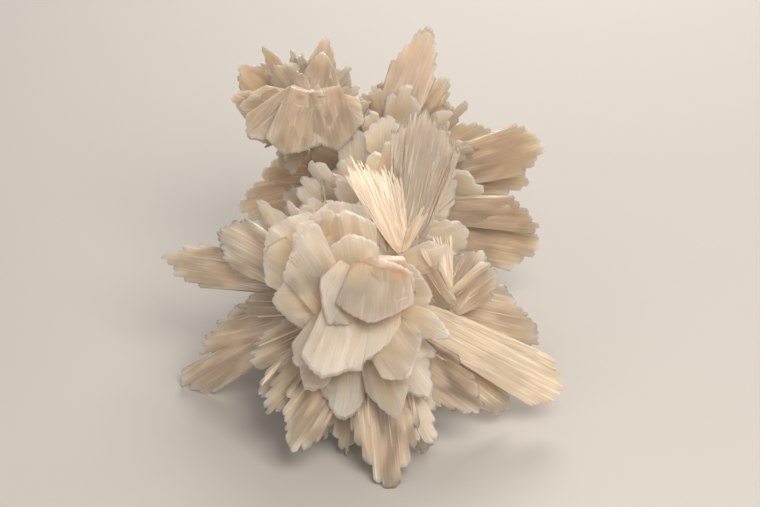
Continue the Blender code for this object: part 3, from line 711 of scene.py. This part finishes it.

# A crystal's two colours, roughness and height of its grain, its least and most transmission, how
# many millimetres far light scatters in it, how much painted glow whitens its thin rims, how much of
# the light scatters, how streaked it is, which also sets the white of its fine lines, partly painted
# sheen, and its gloss.
Finish = namedtuple("Finish", "pale deep roughness grain milk clear scatter rim waxy streaky gloss")
FINISHES = {
    "frosted_crystal": Finish(
        pale=(0.79, 0.59, 0.44, 1),
        deep=(0.71, 0.52, 0.38, 1),
        roughness=0.36,
        grain=0.03,
        milk=0.10,
        clear=0.30,
        scatter=6.5,
        rim=0.05,
        waxy=1.0,
        streaky=0.5,
        gloss=0.5,
    ),
    "silky_crystal": Finish(
        pale=(0.76, 0.63, 0.51, 1),
        deep=(0.60, 0.49, 0.385, 1),
        roughness=0.15,
        grain=0.12,
        milk=0.15,
        clear=0.60,
        scatter=2.4,
        rim=0.20,
        waxy=1.0,
        streaky=0.8,
        gloss=0.4,
    ),
    # Whiter than the rest: partly the needles' own pale colour, partly painted sheen on the bright
    # fans, the shining blade and the glints.
    "fibrous_painted_sheen_crystal": Finish(
        pale=(0.95, 0.84, 0.68, 1),
        deep=(0.66, 0.53, 0.40, 1),
        roughness=0.20,
        grain=0.20,
        milk=0.00,
        clear=0.20,
        scatter=0.6,
        rim=0.00,
        waxy=0.3,
        streaky=0.9,
        gloss=0.5,
    ),
    "veiled_crystal": Finish(
        pale=(0.54, 0.44, 0.34, 1),
        deep=(0.42, 0.335, 0.255, 1),
        roughness=0.15,
        grain=0.15,
        milk=0.20,
        clear=0.60,
        scatter=1.5,
        rim=0.30,
        waxy=1.0,
        streaky=0.9,
        gloss=0.15,
    ),
    "clear_crystal": Finish(
        pale=(0.86, 0.75, 0.62, 1),
        deep=(0.55, 0.45, 0.36, 1),
        roughness=0.08,
        grain=0.10,
        milk=0.30,
        clear=0.80,
        scatter=1.0,
        rim=0.50,
        waxy=1.0,
        streaky=0.5,
        gloss=0.5,
    ),
    # A darker tan copy of the crystal as painted shade, for the rear and upper bursts, the backs and
    # the feet.
    "tan_painted_shade_crystal": Finish(
        pale=(0.60, 0.485, 0.38, 1),
        deep=(0.51, 0.41, 0.315, 1),
        roughness=0.20,
        grain=0.05,
        milk=0.10,
        clear=0.40,
        scatter=3.0,
        rim=0.10,
        waxy=1.0,
        streaky=0.3,
        gloss=0.15,
    ),
}


def blade_chance(nodes):
    """A random number for each blade, from the square of the fibre map that it lies in."""
    cell = nodes.stretched((1 / CELL, 1 / CELL, 1))
    cell = nodes.vector_maths("FLOOR", cell).outputs["Vector"]
    return nodes.add("ShaderNodeTexWhiteNoise", {"Vector": cell}).outputs["Value"]


def stained(nodes, colour, where, cloud):
    """The colour, with rust where a stain lies."""
    for middle, radius in STAINS:
        radius *= MM
        off = nodes.vector_maths("DISTANCE", where, seen(*middle) * MM).outputs["Value"]
        off = nodes.plus(off, cloud, radius * STAIN_CLOUD)
        span = (radius * STAIN_OUTER, radius * STAIN_INNER)
        colour = nodes.mix(nodes.between(off, span, 0.0, STAIN_STRENGTH), colour, RUST)
    return colour


def crystal(name, finish):
    """A crystal material: fibres, fine white lines that are partly painted sheen, a painted glow on
    thin rims, clear patches, stains and a fine grain.
    """
    nodes = Nodes(name)
    where = nodes.add("ShaderNodeTexCoord").outputs["Object"]
    spot = nodes.add("ShaderNodeUVMap", uv_map="spot").outputs["UV"]
    spot = nodes.add("ShaderNodeSeparateXYZ", {0: spot}).outputs
    fine = nodes.noise(nodes.stretched(FINE_FIBRE), 1.0, FIBRE_DETAIL)
    broad = nodes.noise(nodes.stretched(BROAD_FIBRE), 1.0, FIBRE_DETAIL)
    cloud = nodes.noise(where, CLOUD_SCALE, CLOUD_DETAIL, RUGGED)
    grit = nodes.noise(where, GRIT_SCALE, GRIT_DETAIL, RUGGED)
    streaks = nodes.weighed(fine, broad, FINE_SHARE)

    mixed = nodes.add("ShaderNodeMix", {0: finish.streaky, 2: cloud, 3: streaks}).outputs[0]
    shade = nodes.between(mixed, SHADE_SPAN)
    shade = nodes.weighed(shade, blade_chance(nodes), SHADE_SHARE)
    colour = nodes.mix(shade, finish.deep, finish.pale)
    outer = nodes.maths("MAXIMUM", nodes.maths("ABSOLUTE", spot["X"], 0.0), spot["Y"])
    # Painted glow: thin rims whitened as if light shone through them.
    edge_glow = nodes.between(outer, EDGE_GLOW_SPAN, 0.0, finish.rim)
    feathers = nodes.between(broad, FEATHER_SPAN, 0.0, FEATHER_WHITE)
    # Fine white lines along the fibres, partly the grain and partly painted sheen.
    lines = nodes.between(fine, LINE_SPAN, 0.0, LINE_WHITE * finish.streaky)
    for whitened in (edge_glow, feathers, lines):
        colour = nodes.mix(whitened, colour, WHITE)
    colour = stained(nodes, colour, where, cloud)

    patch = nodes.noise(nodes.stretched(PATCHES), 1.0, PATCH_DETAIL)
    patch = nodes.plus(patch, spot["Y"], TIP_CLEARING)
    height = nodes.maths("MULTIPLY", streaks, finish.grain)
    height = nodes.plus(height, grit, GRIT_HEIGHT)
    relief = {"Height": height, "Strength": BUMP_STRENGTH, "Distance": BUMP_HEIGHT * MM}
    smoothest, roughest = finish.roughness * SMOOTHEST, finish.roughness * ROUGHEST
    nodes.set(
        Base_Color=colour,
        Roughness=nodes.between(cloud, ROUGH_SPAN, smoothest, roughest),
        IOR=REFRACTION,
        Specular_IOR_Level=finish.gloss,
        Normal=nodes.add("ShaderNodeBump", relief).outputs["Normal"],
        Subsurface_Weight=finish.waxy,
        Subsurface_Radius=SPREAD,
        Subsurface_Scale=finish.scatter * MM,
        Transmission_Weight=nodes.between(patch, CLEAR_SPAN, finish.milk, finish.clear),
    )
    return nodes.material


MATERIALS = {name: crystal(name, finish) for name, finish in FINISHES.items()}


def group_parts(prefix, groups, rng):
    """The objects of each (blades, look, root share), with the small blades that grow on them."""
    parts = []
    for blades, look, root_share in groups:
        small = look._replace(fine=1, groove=look.groove / 2, step=look.step * SHOOT_STEP)
        for blade in blades:
            parts.append(blade_object(f"{prefix}_{len(parts)}", blade, look, rng, root_share))
            for shoot in offshoots(blade, look.shoots, rng, root_share):
                # A share of the splinters on silky and mottled blades take the bright fibrous
                # material as painted glints.
                bright = look in (SILKY, MOTTLED) and rng.random() < PAINTED_GLINT_SHARE
                finish = small._replace(material="fibrous_painted_sheen_crystal") if bright else small
                parts.append(blade_object(f"{prefix}_{len(parts)}", shoot, finish, rng, root_share))
    return parts


def cluster_groups():
    """The groups of (blades, look, root share) in each burst and in the neck, in the lumps' order."""
    front_back, rear_back, front_fill, rear_fill, neck_fill = map(spray_blades, SPRAYS)
    front_crust, neck_crust, neck_end_crust, rear_crust, upper_crust = map(spray_blades, CRUST)
    chunks, needle, tuft = OUTER[2:4], OUTER[4:5], OUTER[19:20]
    plain = [blade for blade in OUTER if blade not in chunks + needle + tuft]
    return {
        "front_burst": [
            (plain, SILKY, ROOT_SHARE),
            (chunks + CENTRE, FROSTED, ROOT_SHARE),
            (BRIGHT, BRIGHT_SILK, ROOT_SHARE),
            (CLEAR_TIPPED, MOTTLED, ROOT_SHARE),
            (FANS[:2] + tuft + TUFTS, NEEDLES, ROOT_OF_FAN),
            (FANS[2:] + needle, FAN, ROOT_OF_FAN),
            (front_back, COARSE, ROOT_SHARE),
            (front_fill, MILKY, ROOT_SHARE),
            (front_crust, MILKY_CRUST, ROOT_SHARE),
        ],
        "neck": [
            (NECK, MILKY, ROOT_SHARE),
            (FEET, COARSE, ROOT_SHARE),
            (neck_fill, MILKY, ROOT_SHARE),
            (neck_crust + neck_end_crust, MILKY_CRUST, ROOT_SHARE),
        ],
        "rear_burst": [
            (BEHIND, COARSE, ROOT_SHARE),
            (rear_back, COARSE, ROOT_SHARE),
            (rear_fill, MILKY, ROOT_SHARE),
            (rear_crust, COARSE_CRUST, ROOT_SHARE),
        ],
        "upper_burst": [
            (ABOVE, UPPER_PLATES, ROOT_SHARE),
            (upper_crust, COARSE_CRUST, ROOT_SHARE),
        ],
    }


def build_cluster():
    """The visible pieces, each one clean solid."""
    rng = random.Random(SEED)
    floor = floor_cutter()
    bpy.context.scene.collection.objects.link(floor)
    made = []
    for (name, groups), lump in zip(cluster_groups().items(), LUMPS):
        parts = group_parts(name, groups, rng)
        made.append(joined(name, core_object(name + "_core", *lump), parts, floor))
    bpy.data.objects.remove(floor)
    return made


# Sizes and places of the studio are in millimetres, the lamps' powers in watts.
FLOOR_HALF = 1500.0
FLOOR_PAINT = (0.54, 0.53, 0.52, 1)
FLOOR_ROUGHNESS = 0.7
# A lamp's name, place, side, power and colour.
LAMPS = (
    ("key", (85, -165, 225), 160, 0.58, (1.0, 0.90, 0.79)),
    ("fill", (-300, -330, 180), 300, 0.30, (1.0, 0.92, 0.83)),
    ("rim", (60, 260, 220), 200, 0.80, (1.0, 0.93, 0.85)),
)
# What the lamps point at.
LAMP_AIM = Vector((0, 0, 20))
SURROUND = (0.80, 0.74, 0.68, 1)
SURROUND_STRENGTH = 0.44

# The photograph is 760 pixels wide, and one is this long at the front burst's heart.
PIXEL = 0.15
PHOTO_WIDTH = 760
# Where its middle lies from that heart, in pixels.
MIDDLE_RIGHT = 25
MIDDLE_UP = 36.5
SENSOR = 36.0
# What lies nearer to the camera than this many millimetres isn't seen.
NEAREST_SEEN = 10.0


def aimed(obj, spot, at):
    """Places obj at spot and turns its -Z to at. Both are in millimetres."""
    obj.location = spot * MM
    obj.rotation_euler = (spot - at).to_track_quat("Z", "Y").to_euler()
    bpy.context.scene.collection.objects.link(obj)


def soft_light(name, spot, size, power, colour):
    """A square lamp that points at the cluster."""
    lamp = bpy.data.lights.new(name, "AREA")
    lamp.size = size * MM
    lamp.energy = power
    lamp.color = colour
    aimed(bpy.data.objects.new(name, lamp), Vector(spot), LAMP_AIM)


def pale_floor():
    """The square that the cluster stands on."""
    mesh = bmesh.new()
    bmesh.ops.create_grid(mesh, x_segments=1, y_segments=1, size=FLOOR_HALF * MM)
    data = mesh_data("floor", mesh)
    paint = Nodes("pale_floor")
    paint.set(Base_Color=FLOOR_PAINT, Roughness=FLOOR_ROUGHNESS)
    data.materials.append(paint.material)
    floor = bpy.data.objects.new("floor", data)
    bpy.context.scene.collection.objects.link(floor)
    return floor


def studio():
    """A pale floor, soft lamps and an even surround."""
    pale_floor()
    for lamp in LAMPS:
        soft_light(*lamp)
    world = bpy.data.worlds.new("surround")
    world.use_nodes = True
    background = world.node_tree.nodes["Background"]
    background.inputs["Color"].default_value = SURROUND
    background.inputs["Strength"].default_value = SURROUND_STRENGTH
    bpy.context.scene.world = world
    bpy.context.scene.view_settings.view_transform = "Standard"


def camera():
    """The photograph's view. The front burst's heart lies left of and below its middle."""
    data = bpy.data.cameras.new("camera")
    data.sensor_width = SENSOR
    data.lens = SENSOR * VIEW_DISTANCE / (PHOTO_WIDTH * PIXEL)
    data.clip_start = NEAREST_SEEN * MM
    eye = EYE + RIGHT * MIDDLE_RIGHT * PIXEL + UPWARD * MIDDLE_UP * PIXEL
    obj = bpy.data.objects.new("camera", data)
    aimed(obj, eye, eye - TOWARD)
    bpy.context.scene.camera = obj


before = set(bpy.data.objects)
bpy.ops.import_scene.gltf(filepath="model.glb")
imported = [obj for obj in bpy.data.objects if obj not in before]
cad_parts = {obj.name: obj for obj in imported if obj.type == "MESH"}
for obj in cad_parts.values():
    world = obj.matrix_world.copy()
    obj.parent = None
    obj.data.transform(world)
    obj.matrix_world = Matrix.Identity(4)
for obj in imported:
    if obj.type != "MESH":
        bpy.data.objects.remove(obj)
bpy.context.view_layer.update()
for piece in build_cluster():
    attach(piece, "root")
    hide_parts("crystal_cluster")
studio()
camera()
